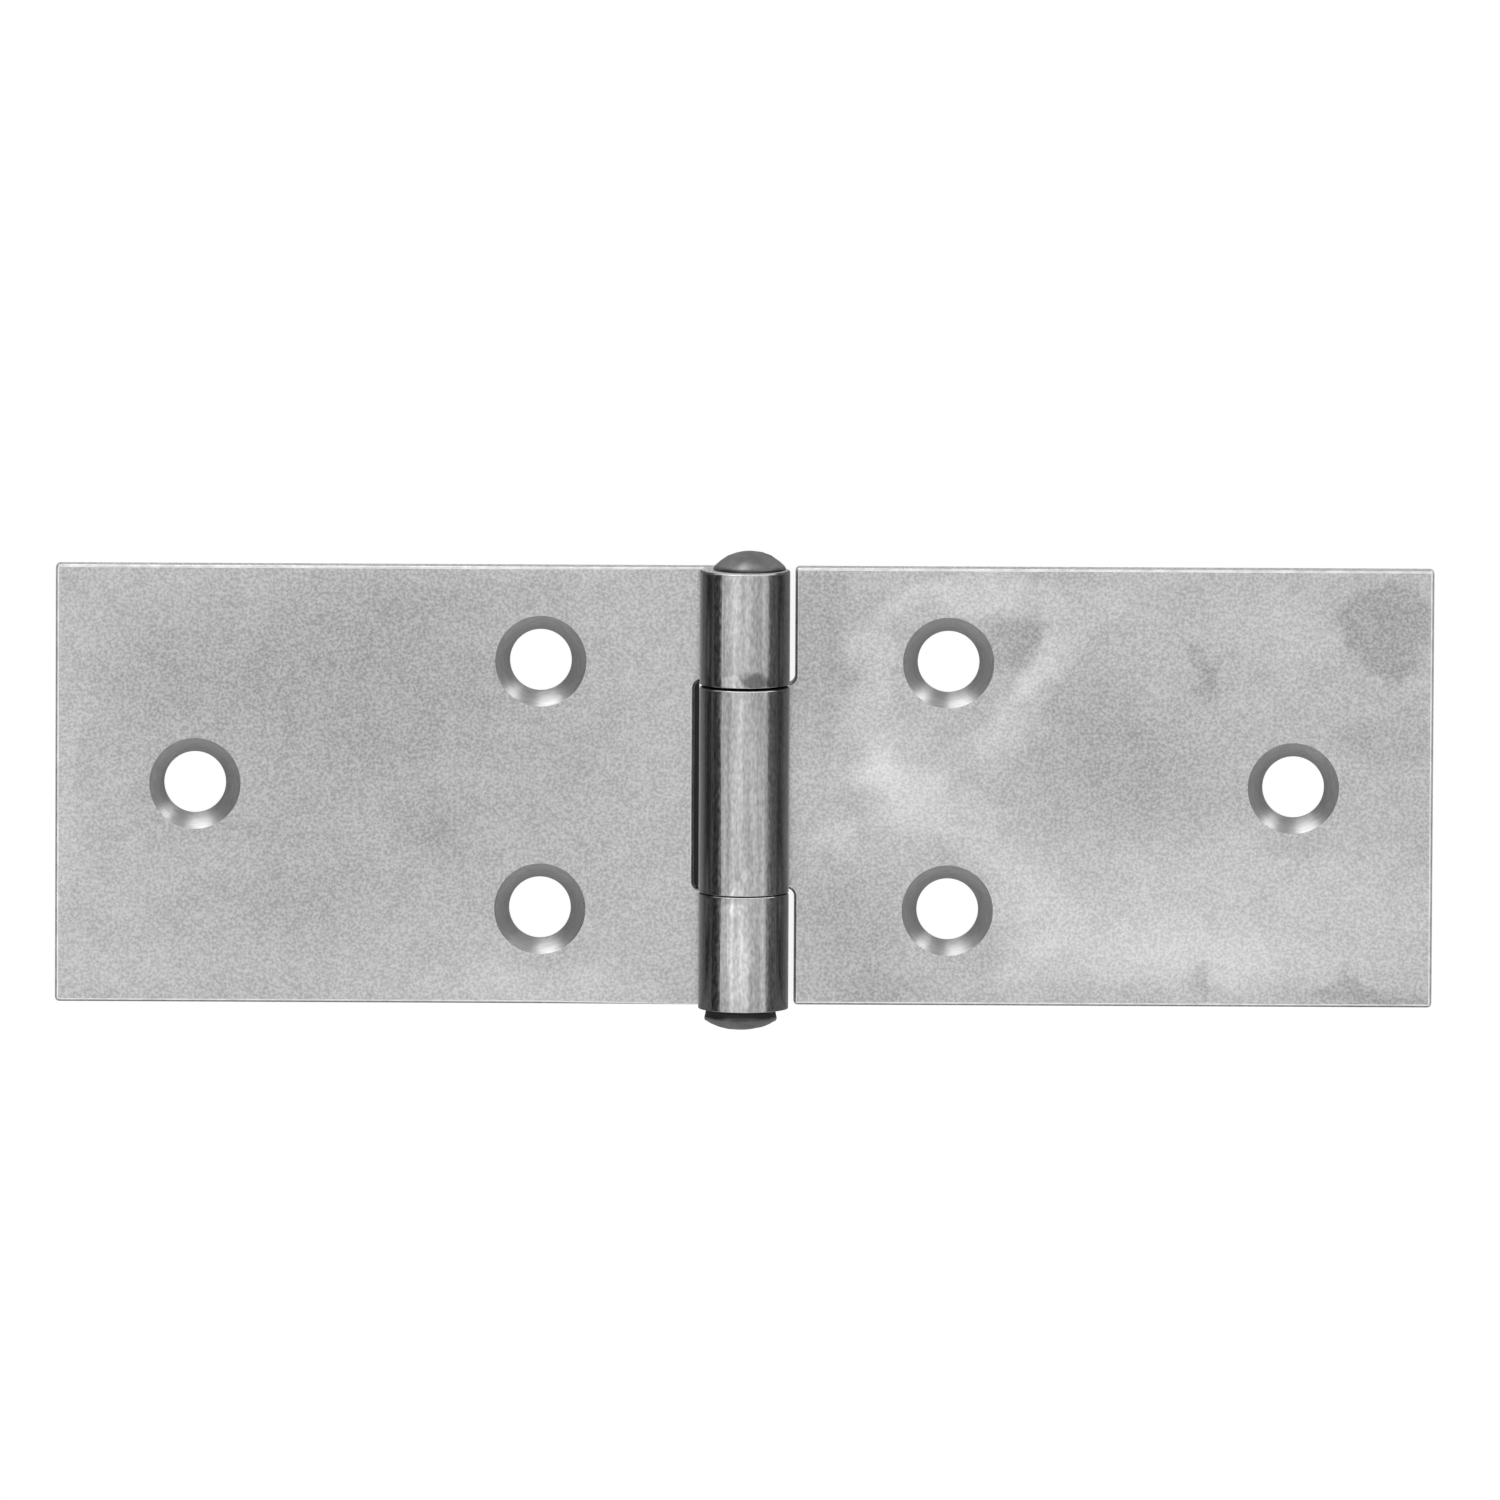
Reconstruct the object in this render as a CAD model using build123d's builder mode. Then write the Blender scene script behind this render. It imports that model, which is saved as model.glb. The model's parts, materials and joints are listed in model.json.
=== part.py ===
from build123d import *
import os
from math import asin, cos, degrees, radians, sin

# A broad butt hinge, lying open with its countersunk faces up. Two stamped leaves are rolled at one end
# into knuckles, which interleave on a pin that is riveted over at both ends.
# X runs across the open leaves, Y along the pin and Z up. The origin is below the middle of the pin, on the
# plane of the leaves' back faces. All sizes are millimetres.

# Leaves
LEAF_LENGTH = 35.0  # along the pin
LEAF_REACH = 54.75  # pin axis to a leaf's free edge
SHEET = 1.5  # thickness of the steel strip
CORNER_RADIUS = 0.35  # outer corners in plan
FRONT_BREAK = 0.2  # broken edge round the front face
BACK_BREAK = 0.18  # broken edge round the back face, which runs on round the knuckles

# Knuckles
MIDDLE_KNUCKLE = 16.4  # length of the right leaf's single knuckle
UPPER_PLAY = 0.2  # end gap between the upper and the middle knuckle
LOWER_PLAY = 0.06  # end gap between the middle and the lower knuckle, which almost touch
SWING_GAP = 0.42  # between a leaf's cut edge and the knuckle that turns beside it
NOTCH_RADIUS = 0.6  # inner corners of the cut-outs beside the knuckles
SEAM_GAP = 0.12  # between the rolled end of the strip and the leaf below it

# Pin
PIN_DIAMETER = 4.0
PIN_CLEARANCE = 0.08  # radial, between the pin and the rolled eyes
HEAD_DIAMETER = 5.75
UPPER_HEAD_HEIGHT = 1.55
LOWER_HEAD_HEIGHT = 1.05
HEAD_RIM = 0.2  # height of the crown's edge above the knuckle
HEAD_SHOULDER = 0.25  # rounding of that edge
PIN_END_PLAY = 0.75  # spare length between the heads, all of it at the lower end
UPPER_HEAD_SHIFT = 0.35  # the riveted heads have spread a little to one side
LOWER_HEAD_SHIFT = -0.2
LOWER_HEAD_LEAN = 6.0  # degrees that the lower head sits askew on the pin, nearer the knuckle on the front side

# Screw holes
HOLE_DIAMETER = 4.9
COUNTERSINK_DIAMETER = 7.25
COUNTERSINK_ANGLE = 90.0
INNER_HOLES_REACH = 16.2  # pin axis to the pair of holes beside the knuckles
INNER_HOLES_SPACING = 19.8  # between that pair, along the pin
OUTER_HOLE_REACH = 43.65  # pin axis to the single hole near the free edge

# What follows from them
EYE_RADIUS = PIN_DIAMETER / 2 + PIN_CLEARANCE
KNUCKLE_RADIUS = EYE_RADIUS + SHEET
CUT_EDGE = KNUCKLE_RADIUS + SWING_GAP
LEAF_END = LEAF_LENGTH / 2
MIDDLE_KNUCKLE_END = MIDDLE_KNUCKLE / 2
# The strip wraps three quarters of a turn round the pin, and on by this angle until it meets the leaf again.
TUCK_ANGLE = degrees(asin((EYE_RADIUS - SEAM_GAP) / KNUCKLE_RADIUS))
LEFT = -1
RIGHT = 1
TINY = 1e-6


def strip_section(side):
    """Edge view of one strip: flat along the back, then curled over the pin and down onto itself."""
    turn = -side * (270 + TUCK_ANGLE)
    end_x = side * cos(radians(TUCK_ANGLE))
    end_z = -sin(radians(TUCK_ANGLE))
    curled_outside = (KNUCKLE_RADIUS * end_x, KNUCKLE_RADIUS + KNUCKLE_RADIUS * end_z)
    curled_inside = (EYE_RADIUS * end_x, KNUCKLE_RADIUS + EYE_RADIUS * end_z)
    with BuildSketch(Plane.XZ) as section:
        with BuildLine():
            Line((side * LEAF_REACH, 0), (0, 0))
            CenterArc((0, KNUCKLE_RADIUS), KNUCKLE_RADIUS, -90, turn)
            Line(curled_outside, curled_inside)
            CenterArc((0, KNUCKLE_RADIUS), EYE_RADIUS, -90, turn)
            Polyline((0, SHEET), (side * LEAF_REACH, SHEET), (side * LEAF_REACH, 0))
        make_face()
    return section.sketch


def cut_beside_knuckle(side, start, end):
    """Cut the strip away between two places along the pin, as far as the leaf's cut edge.

    The corners are rounded in the flat, where the blank was punched, and square through the rolled end.
    """
    middle = (start + end) / 2
    with BuildSketch(Plane((0, middle, 0))) as flat_cut:
        Rectangle(2 * CUT_EDGE, end - start)
        at_cut_edge = 0 if side == LEFT else -1
        fillet(flat_cut.vertices().group_by(Axis.X)[at_cut_edge], NOTCH_RADIUS)
    extrude(flat_cut.sketch, amount=SHEET, mode=Mode.SUBTRACT)
    with BuildSketch(Plane((0, middle, SHEET))) as rolled_cut:
        Rectangle(2 * CUT_EDGE, end - start)
    extrude(rolled_cut.sketch, amount=2 * KNUCKLE_RADIUS, mode=Mode.SUBTRACT)


def break_stamped_edges(leaf):
    """Round the outer corners, then break the front edges and the back edges with the knuckle ends."""
    upright = leaf.edges().filter_by(Axis.Z)
    fillet(upright.filter_by(lambda edge: LEAF_END - abs(edge.center().Y) < TINY), CORNER_RADIUS)
    front = leaf.faces().filter_by(Axis.Z).sort_by(SortBy.AREA)[-2:].sort_by(Axis.Z)[-1]
    # The lines above the pin axis, where the flat runs on into the eyes, are no edges of the steel.
    chamfer(front.edges().filter_by(lambda edge: abs(edge.center().X) > TINY), FRONT_BREAK)
    arcs = leaf.edges().filter_by(GeomType.CIRCLE)
    chamfer(arcs.filter_by(lambda arc: abs(arc.radius - KNUCKLE_RADIUS) < TINY), BACK_BREAK)


def sink_screw_holes(side):
    """Three screw holes in a triangle, countersunk from the front face."""
    inner_pair = [(side * INNER_HOLES_REACH, end * INNER_HOLES_SPACING / 2, SHEET) for end in (-1, 1)]
    with Locations(*inner_pair, (side * OUTER_HOLE_REACH, 0, SHEET)):
        CounterSinkHole(
            radius=HOLE_DIAMETER / 2,
            counter_sink_radius=COUNTERSINK_DIAMETER / 2,
            counter_sink_angle=COUNTERSINK_ANGLE,
        )


def rivet_head(seat, height, shift, outwards, lean=0):
    """A domed head on the pin, facing a knuckle's end. It sits a little off the pin axis and may lean."""
    head_plane = Plane((shift, seat, KNUCKLE_RADIUS), x_dir=(1, 0, 0), z_dir=(0, 0, outwards))
    head_plane = head_plane.rotated((outwards * lean, 0, 0))
    crown_edge = (HEAD_DIAMETER / 2, HEAD_RIM)
    with BuildSketch(head_plane) as profile:
        with BuildLine():
            Polyline((0, height), (0, 0), (HEAD_DIAMETER / 2, 0), crown_edge)
            TangentArc((0, height), crown_edge, tangent=(1, 0))
        make_face()
        fillet(profile.vertices().group_by(Axis.X)[-1].sort_by(Axis.Y)[-1], HEAD_SHOULDER)
    revolve(profile.sketch, axis=Axis(head_plane.origin, head_plane.y_dir))


# Left leaf: the middle is cut away, which leaves a knuckle at each end
left_section = strip_section(LEFT)
with BuildPart() as two_knuckle_leaf:
    extrude(left_section, amount=LEAF_END, both=True)
    cut_beside_knuckle(LEFT, -MIDDLE_KNUCKLE_END - LOWER_PLAY, MIDDLE_KNUCKLE_END + UPPER_PLAY)
    break_stamped_edges(two_knuckle_leaf)
    sink_screw_holes(LEFT)

# Right leaf: both ends are cut away, which leaves the middle knuckle
right_section = strip_section(RIGHT)
past_leaf_end = LEAF_END + NOTCH_RADIUS
with BuildPart() as one_knuckle_leaf:
    extrude(right_section, amount=LEAF_END, both=True)
    cut_beside_knuckle(RIGHT, MIDDLE_KNUCKLE_END, past_leaf_end)
    cut_beside_knuckle(RIGHT, -past_leaf_end, -MIDDLE_KNUCKLE_END)
    break_stamped_edges(one_knuckle_leaf)
    sink_screw_holes(RIGHT)

# Pin: its upper head is down on the upper knuckle, and the lower head stands off by the end play
upper_seat = LEAF_END
lower_seat = -LEAF_END - PIN_END_PLAY
with BuildPart() as hinge_pin:
    shank_start = lower_seat - LOWER_HEAD_HEIGHT / 2
    with BuildSketch(Plane((0, shank_start, KNUCKLE_RADIUS), x_dir=(1, 0, 0), z_dir=(0, 1, 0))):
        Circle(PIN_DIAMETER / 2)
    extrude(amount=upper_seat + HEAD_RIM - shank_start)
    rivet_head(upper_seat, UPPER_HEAD_HEIGHT, UPPER_HEAD_SHIFT, 1)
    rivet_head(lower_seat, LOWER_HEAD_HEIGHT, LOWER_HEAD_SHIFT, -1, LOWER_HEAD_LEAN)

two_knuckle_leaf.part.label = "two_knuckle_leaf"
one_knuckle_leaf.part.label = "one_knuckle_leaf"
hinge_pin.part.label = "hinge_pin"

os.makedirs("parts", exist_ok=True)
export_step(two_knuckle_leaf.part, "parts/two_knuckle_leaf.step")
export_step(one_knuckle_leaf.part, "parts/one_knuckle_leaf.step")
export_step(hinge_pin.part, "parts/hinge_pin.step")
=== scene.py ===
"""Broad butt hinge: two stamped steel leaves, rolled into knuckles round a pin that is riveted at both ends.

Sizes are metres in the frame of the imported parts: X runs across the open leaves, Y along the pin and Z up,
out of the countersunk faces. Patterns in the materials are drawn in millimetres.
"""

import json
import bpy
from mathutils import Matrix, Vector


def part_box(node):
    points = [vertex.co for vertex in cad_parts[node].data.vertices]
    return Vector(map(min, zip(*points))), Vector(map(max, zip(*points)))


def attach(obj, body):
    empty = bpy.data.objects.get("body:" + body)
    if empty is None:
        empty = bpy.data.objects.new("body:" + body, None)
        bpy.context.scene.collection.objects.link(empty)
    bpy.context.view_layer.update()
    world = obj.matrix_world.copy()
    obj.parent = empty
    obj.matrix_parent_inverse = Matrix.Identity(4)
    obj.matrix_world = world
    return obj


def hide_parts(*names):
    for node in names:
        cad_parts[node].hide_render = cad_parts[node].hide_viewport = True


bl_info = {
    "name": "Broad Butt Hinge",
    "version": (1, 0, 0),
    "blender": (4, 5, 0),
    "location": "3D View > Sidebar > Hinge",
    "description": "Models a broad butt hinge with rolled knuckles around its packed parts",
    "category": "Add Mesh",
}

from math import asin, cos, degrees, hypot, pi, radians, sin, tan

import bmesh
import bpy
from bpy.props import FloatProperty, FloatVectorProperty, PointerProperty
from bpy.types import NodeSocket, Operator, Panel, PropertyGroup
from mathutils import Euler, Vector

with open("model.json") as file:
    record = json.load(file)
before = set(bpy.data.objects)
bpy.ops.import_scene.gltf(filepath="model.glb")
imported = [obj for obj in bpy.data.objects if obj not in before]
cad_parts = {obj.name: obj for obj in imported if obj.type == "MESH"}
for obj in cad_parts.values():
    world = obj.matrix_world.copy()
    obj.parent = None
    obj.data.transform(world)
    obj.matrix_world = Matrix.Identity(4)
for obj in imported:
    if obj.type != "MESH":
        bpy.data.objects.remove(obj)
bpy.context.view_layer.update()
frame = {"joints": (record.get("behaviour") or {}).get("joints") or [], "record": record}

LEFT = -1
RIGHT = 1
TINY = 1e-6
FAR = 1e3
MILLIMETRES = 1000  # in a metre

# Sizes read from the frame
PIN_AXIS_HEIGHT = frame["joints"][0]["pos_m"][2]
LEFT_LOW, LEFT_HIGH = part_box("two_knuckle_leaf")
PIN_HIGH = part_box("hinge_pin")[1]
SCREW_HOLES = [mount for mount in frame["record"]["mounts"] if mount["kind"] == "bore"]
HOLE_RADIUS = SCREW_HOLES[0]["dims"]["r_mm"] / MILLIMETRES

# How finely the rounds are divided
ROLL_STEPS = 72
HEAD_STEPS = 9
DRILL_SIDES = 96
PIN_SIDES = 64
CARD_SIDES = 180
CORNER_SEGMENTS = 5
NOTCH_SEGMENTS = 6
EDGE_SEGMENTS = 4
RIM_SEGMENTS = 3

# Parts of a face's normal that tell what the face belongs to
SQUARE = 0.95  # along an axis: more looks straight along it
UPRIGHT = 0.35  # along Z: less is a cut edge
LEANING = 0.6  # along Z: less is the wall of the drawn-out notch
LEVEL = 0.995  # along Z: more is a flat
DRILL_FOOT = -0.9  # along Z: less is the foot of a drill
ROUNDED = 0.2  # along Y: more is the rounded end of a knuckle
LOWER = -0.5  # along Y: less looks to the lower end of the pin

# Ranges that the noise patterns hardly leave
NOISE_LOW = 0.3
NOISE_HIGH = 0.7
GRAIN_LOW = 0.25
GRAIN_HIGH = 0.75


def length(label, description, default):
    """A setting that is a length in metres."""
    return FloatProperty(
        name=label, description=description, default=default, precision=5, unit="LENGTH", subtype="DISTANCE"
    )


def angle(label, description, default):
    """A setting that is an angle, given here in degrees."""
    return FloatProperty(
        name=label, description=description, default=radians(default), unit="ROTATION", subtype="ANGLE"
    )


def grey(label, description, default):
    """A setting that is the bare colour of a steel."""
    return FloatVectorProperty(
        name=label, description=description, default=(default,) * 3, min=0, max=1, subtype="COLOR"
    )


def share(label, description, default):
    """A setting between none and all."""
    return FloatProperty(name=label, description=description, default=default, min=0, max=1, subtype="FACTOR")


class LeafSettings(PropertyGroup):
    """Sizes of the two leaves."""

    reach: length("Reach", "Pin axis to a leaf's free edge", -LEFT_LOW.x)
    span: length("Span", "Length of a leaf along the pin", LEFT_HIGH.y - LEFT_LOW.y)
    sheet: length("Sheet", "Thickness of the steel strip", 0.0015)
    knuckle_radius: length("Knuckle Radius", "Outer radius of the rolled eyes", PIN_AXIS_HEIGHT)
    middle_knuckle: length("Middle Knuckle", "Length of the single knuckle", 0.0164)
    upper_play: length("Upper Play", "End gap between the upper and the middle knuckle", 0.0002)
    lower_play: length("Lower Play", "End gap between the middle and the lower knuckle", 0.00006)
    swing_gap: length("Swing Gap", "Between a cut edge and the knuckle that turns beside it", 0.00042)
    seam_gap: length("Seam Gap", "Between the rolled end of the strip and the leaf below it", 0.00012)
    corner_radius: length("Corner Radius", "Outer corners of a leaf", 0.00035)
    notch_radius: length("Notch Radius", "Inner corners beside the knuckles", 0.0006)
    edge_round: length("Edge Round", "Rounding of the stamped edges", 0.00026)
    knuckle_round: length("Knuckle Round", "Rounding of the knuckles' upper ends", 0.0002)
    sharp_round: length("Sharp Round", "Rounding of the knuckles' lower ends, sheared last", 0.00005)
    rim_round: length("Rim Round", "Rounding of the screw holes' rims", 0.00007)
    countersink: length("Countersink", "Diameter of the countersinks at the face", 0.00725)
    # Notch lean: a wall leaned in under the middle knuckle, there to carry the slot's black painted shade.
    notch_lean: length("Drawn Out", "How far the punch drew out the inner notch's edge on the back", 0.00041)


class PinSettings(PropertyGroup):
    """Sizes of the riveted pin."""

    diameter: length("Diameter", "Shank of the pin", 0.004)
    head_diameter: length("Head Diameter", "Spread of the riveted heads", 0.00575)
    upper_height: length("Upper Height", "Upper knuckle's end to the crown", PIN_HIGH.y - LEFT_HIGH.y)
    lower_height: length("Lower Height", "From the lower head's seat to its crown", 0.00105)
    head_rim: length("Head Rim", "Upright edge below the crown", 0.0002)
    end_play: length("End Play", "Gap above the lower head", 0.00075)
    # The neck is nearly as wide as the head so that, painted black with the shank, it fills the shaded gap
    # above the lower head.
    neck_diameter: length("Neck Diameter", "Upset end of the shank above the lower head", 0.0055)
    upper_shift: length("Upper Shift", "How far the upper head has spread to one side", 0.00035)
    lower_shift: length("Lower Shift", "How far the lower head has spread to one side", -0.0002)
    lower_lean: angle("Lower Lean", "How far the lower head sits askew, nearer the knuckle in front", 6)
    hammer_dents: length("Hammer Dents", "Unevenness of the hammered crowns", 0.00004)


class FinishSettings(PropertyGroup):
    """Colours and gloss of the steel."""

    strip: grey("Strip", "Flat faces of the leaves", 0.5)
    roll: grey("Roll", "Outside of the knuckles", 0.5)
    # Sheared edge: a light grey that is partly the cut faces' own and partly a painted reflection of the
    # white floor.
    sheared: grey("Sheared Edge", "Cut edges of the strip", 0.9)
    # Burnished edge: a light grey that is partly the edges' own burnish and partly a painted glint.
    burnish_and_glint: grey("Burnished Edge", "Rounded edges that were pressed bright", 0.92)
    sink: grey("Countersink", "Cones of the screw holes", 0.52)
    upper_rivet: grey("Upper Rivet", "Upper hammered end of the pin", 0.37)
    # Lower rivet: the same hammered steel as the upper one, painted darker as shade.
    lower_rivet_shaded: grey("Lower Rivet", "Lower hammered end of the pin", 0.3)
    # Joint shade: near-black painted shade in the joints, on the notch wall and on the pin's shank and neck.
    joint_shade: grey("Grease", "Greasy steel between the knuckles and the pin", 0.01)
    # Flank shade: how light the painted shade leaves the sides of the knuckles below their tops.
    flank_shade: share("Flank", "How light the sides of the knuckles are beside their polished tops", 0.38)
    strip_roughness: share("Strip Roughness", "Satin of the flat faces", 0.26)
    roll_roughness: share("Roll Roughness", "Drawn gloss of the knuckles", 0.2)
    speckle: share("Speckle", "Contrast of the grain in the flat faces", 0.2)


class StageSettings(PropertyGroup):
    """Camera, floor and light."""

    frame_width: length("Frame Width", "What the square picture takes in at the hinge", 0.1192)
    aim: FloatVectorProperty(
        name="Aim",
        description="Middle of the picture",
        default=(0.00045, 0.00288, 0.0015),
        subtype="TRANSLATION",
    )
    distance: length("Distance", "Camera to hinge", 2.4)
    tilt: angle("Tilt", "Camera leaning towards the upper end of the pin", 6.4)
    roll: angle("Roll", "Turn of the picture", 0.28)
    floor_white: share("Floor White", "White that the floor shows of its own", 0.88)
    floor_shade: share("Floor Shade", "Share of the floor's white that takes shadow", 0.24)
    floor_mirrored: share("Floor Mirrored", "Share of that white that the steel reflects", 0.25)
    surround: share("Surround", "Brightness of the white surroundings", 0.8)


class HingeSettings(PropertyGroup):
    """All settings of the hinge and its stage."""

    leaf: PointerProperty(type=LeafSettings)
    pin: PointerProperty(type=PinSettings)
    finish: PointerProperty(type=FinishSettings)
    stage: PointerProperty(type=StageSettings)


# Hand work on a mesh


def new_piece(add, name, **settings):
    """Add a primitive with nothing else selected, give it its name and open it in edit mode."""
    bpy.ops.object.select_all(action="DESELECT")
    add(**settings)
    piece = bpy.context.object
    piece.name = name
    piece.data.name = name
    bpy.ops.object.mode_set(mode="EDIT")
    return piece


def pick(kind, test):
    """Select just the VERT, EDGE or FACE elements of the edited mesh that pass the test."""
    bpy.ops.mesh.select_mode(type=kind)
    bpy.ops.mesh.select_all(action="DESELECT")
    mesh = bpy.context.object.data
    edited = bmesh.from_edit_mesh(mesh)
    elements = {"VERT": edited.verts, "EDGE": edited.edges, "FACE": edited.faces}[kind]
    for element in elements:
        if test(element):
            element.select_set(True)
    bmesh.update_edit_mesh(mesh)


def middle(element):
    """Middle of an edge or a face."""
    return sum((vertex.co for vertex in element.verts), Vector()) / len(element.verts)


def cut_across(place, along):
    """Cut the whole edited mesh by a plane, keeping both sides."""
    bpy.ops.mesh.select_all(action="SELECT")
    bpy.ops.mesh.bisect(plane_co=place, plane_no=along)


def apply_modifier(piece, kind, **settings):
    """Add a modifier to the piece and apply it."""
    modifier = piece.modifiers.new(kind.title(), kind)
    for name, value in settings.items():
        setattr(modifier, name, value)
    bpy.context.view_layer.objects.active = piece
    bpy.ops.object.modifier_apply(modifier=modifier.name)


def smooth_shading(piece):
    """Shade rounds smooth and keep the flats flat."""
    bpy.ops.object.select_all(action="DESELECT")
    piece.select_set(True)
    bpy.context.view_layer.objects.active = piece
    bpy.ops.object.shade_smooth_by_angle(angle=radians(40))
    apply_modifier(piece, "WEIGHTED_NORMAL", keep_sharp=True)


def dress(piece, finishes):
    """Give each group of faces its finish. The first finish covers what no later test claims."""
    bpy.ops.object.mode_set(mode="EDIT")
    for index, (material, test) in enumerate(finishes):
        piece.data.materials.append(material)
        pick("FACE", test)
        piece.active_material_index = index
        bpy.ops.object.material_slot_assign()
    bpy.ops.object.mode_set(mode="OBJECT")


def stand_for(piece, node, body):
    """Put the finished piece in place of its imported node."""
    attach(piece, body)
    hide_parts(node)


# Leaves


class ToneMark:
    """A lighter or darker patch laid on a face, as painted light and shade or as a real mark: centre and
    reach in millimetres, turn in degrees.

    Its tone is what it adds to the steel's own, which is one. Its core is the share of it that doesn't fade.
    """

    def __init__(self, centre, reach, tone, turn=0, core=0.2):
        self.centre = centre
        self.reach = reach
        self.tone = tone
        self.turn = turn
        self.core = core


# Light and dark clouds on the left leaf's face: painted reflections and shade of the sheet's slight waviness.
LEFT_PAINTED_CLOUDS = (
    ToneMark((-30, 4), (28, 16), -0.09, core=0.5),
    ToneMark((-33.7, 9.5), (21, 9), -0.08),
    ToneMark((-29.7, 3.1), (8, 5), -0.07),
    ToneMark((-24.5, -2.9), (5, 3.5), -0.08),
    ToneMark((-36.9, -9.6), (13, 5), -0.1),
    ToneMark((-48, 10), (6, 8), -0.03),
    ToneMark((-21, 15), (14, 3), -0.07),
    ToneMark((-50.4, -14.4), (7, 3), 0.08),
    ToneMark((-17, -15.8), (15, 2.8), 0.12),
    ToneMark((-53.9, -2), (1.8, 13), 0.1),
)
# Light and dark clouds on the right leaf's face: painted reflections and shade of the sheet's slight
# waviness, and a painted shade below the outer screw hole.
RIGHT_PAINTED_CLOUDS = (
    ToneMark((16.7, 15.2), (9, 2.4), 0.22, turn=3),
    ToneMark((10.2, 10), (2.4, 7), 0.16, turn=-4),
    ToneMark((12, 1), (4.5, 7.5), 0.16, turn=20),
    ToneMark((10.9, 2), (3.2, 2.8), 0.14),
    ToneMark((14.4, -1), (8, 3.2), 0.2, turn=-39),
    ToneMark((22.6, -8.4), (9, 4), 0.18, turn=-45),
    ToneMark((40, -10), (22, 9), 0.14, turn=-3, core=0.4),
    ToneMark((34, -13.2), (17, 3.8), 0.16, turn=-3),
    ToneMark((23.8, 9.0), (5.8, 2.2), 0.26, turn=47),
    ToneMark((24.2, 14.1), (3.6, 1.5), 0.14, turn=-52),
    ToneMark((8.1, -4.5), (2.4, 2.2), 0.16),
    ToneMark((41.5, 12.5), (7, 5), 0.08),
    ToneMark((20.8, 4.9), (7.5, 3), 0.19, turn=45),
    ToneMark((23.2, -14.3), (4.8, 2.8), 0.17),
    ToneMark((28.6, 14.6), (4, 2.6), 0.12),
    ToneMark((43.5, -4.6), (3.4, 1.8), -0.1),
    ToneMark((5.9, 11.1), (4.0, 8.6), -0.14, core=0.5),
    ToneMark((21.6, 11.7), (4.0, 2.6), -0.2, turn=15),
    ToneMark((51.0, 12.8), (4.6, 4.6), -0.2, core=0.6),
    ToneMark((36.3, 9.3), (1.2, 2.2), -0.17),
    ToneMark((37.3, 7.6), (0.9, 1.2), -0.12),
    ToneMark((29.0, 2.5), (13, 9), -0.13, turn=-35),
    ToneMark((50.9, 4.3), (5.6, 3.2), -0.1),
    ToneMark((50.1, -16.7), (7.5, 1.7), -0.22, turn=3),
    ToneMark((8.3, -11.2), (6.5, 8), -0.11),
    ToneMark((10.7, -16.2), (5, 2), -0.12),
    ToneMark((36.2, -15.2), (0.8, 2.4), -0.18, turn=-30),
)
# Marks on the knuckles: a dark and a light patch painting the shade and light of a dent at the upper joint,
# two painted highlights on the left of the upper and lower knuckles' tops, and light specks about the lower
# joint.
ROLL_SCUFFS_AND_SHEEN = (
    ToneMark((0.75, 8.9), (2.0, 0.85), -0.6, turn=-6, core=0.4),
    ToneMark((-1.0, 8.75), (1.1, 0.8), 0.4, core=0.4),
    ToneMark((-0.9, 13), (1.0, 6), 0.17),
    ToneMark((-0.8, -13.3), (1.7, 6), 0.37),
    ToneMark((-0.6, -7.8), (0.8, 0.9), 0.5),
    ToneMark((-0.7, -9.2), (0.7, 0.8), 0.5),
    ToneMark((0.1, -6.6), (0.4, 0.7), 0.35),
)


class Notch:
    """Tells which places along the pin a leaf leaves to the other one's knuckles.

    They are those between its two edges, or those beyond them.
    """

    def __init__(self, low, high, inside):
        self.edges = (low, high)
        self.inside = inside

    def takes(self, place):
        low, high = self.edges
        return (low < place < high) == self.inside


def notch_depth(sizes):
    """Distance of a notch's cut edge from the pin axis."""
    return sizes.knuckle_radius + sizes.swing_gap


def outline_leaf(side, notch, sizes):
    """Shape the plane into the flat blank, with its notches cut beside the knuckles."""
    cut_edge = notch_depth(sizes)
    half_span = sizes.span / 2

    def in_outer_corner(vertex):
        return abs(vertex.co.x) > TINY and half_span - abs(vertex.co.y) < TINY

    def in_notch_corner(vertex):
        on_cut_edge = abs(abs(vertex.co.x) - cut_edge) < TINY
        return on_cut_edge and half_span - abs(vertex.co.y) > sizes.corner_radius

    bpy.ops.transform.resize(value=(sizes.reach, sizes.span, 1))
    bpy.ops.transform.translate(value=(side * sizes.reach / 2, 0, 0))
    cut_across((side * cut_edge, 0, 0), (1, 0, 0))
    for edge in notch.edges:
        cut_across((0, edge, 0), (0, 1, 0))
    pick("FACE", lambda face: abs(middle(face).x) < cut_edge and notch.takes(middle(face).y))
    bpy.ops.mesh.delete(type="FACE")
    bpy.ops.mesh.select_all(action="SELECT")
    bpy.ops.mesh.dissolve_limited(angle_limit=radians(1))
    pick("VERT", in_outer_corner)
    bpy.ops.mesh.bevel(offset=sizes.corner_radius, segments=CORNER_SEGMENTS, affect="VERTICES")
    pick("VERT", in_notch_corner)
    bpy.ops.mesh.bevel(offset=sizes.notch_radius, segments=NOTCH_SEGMENTS, affect="VERTICES")


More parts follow.
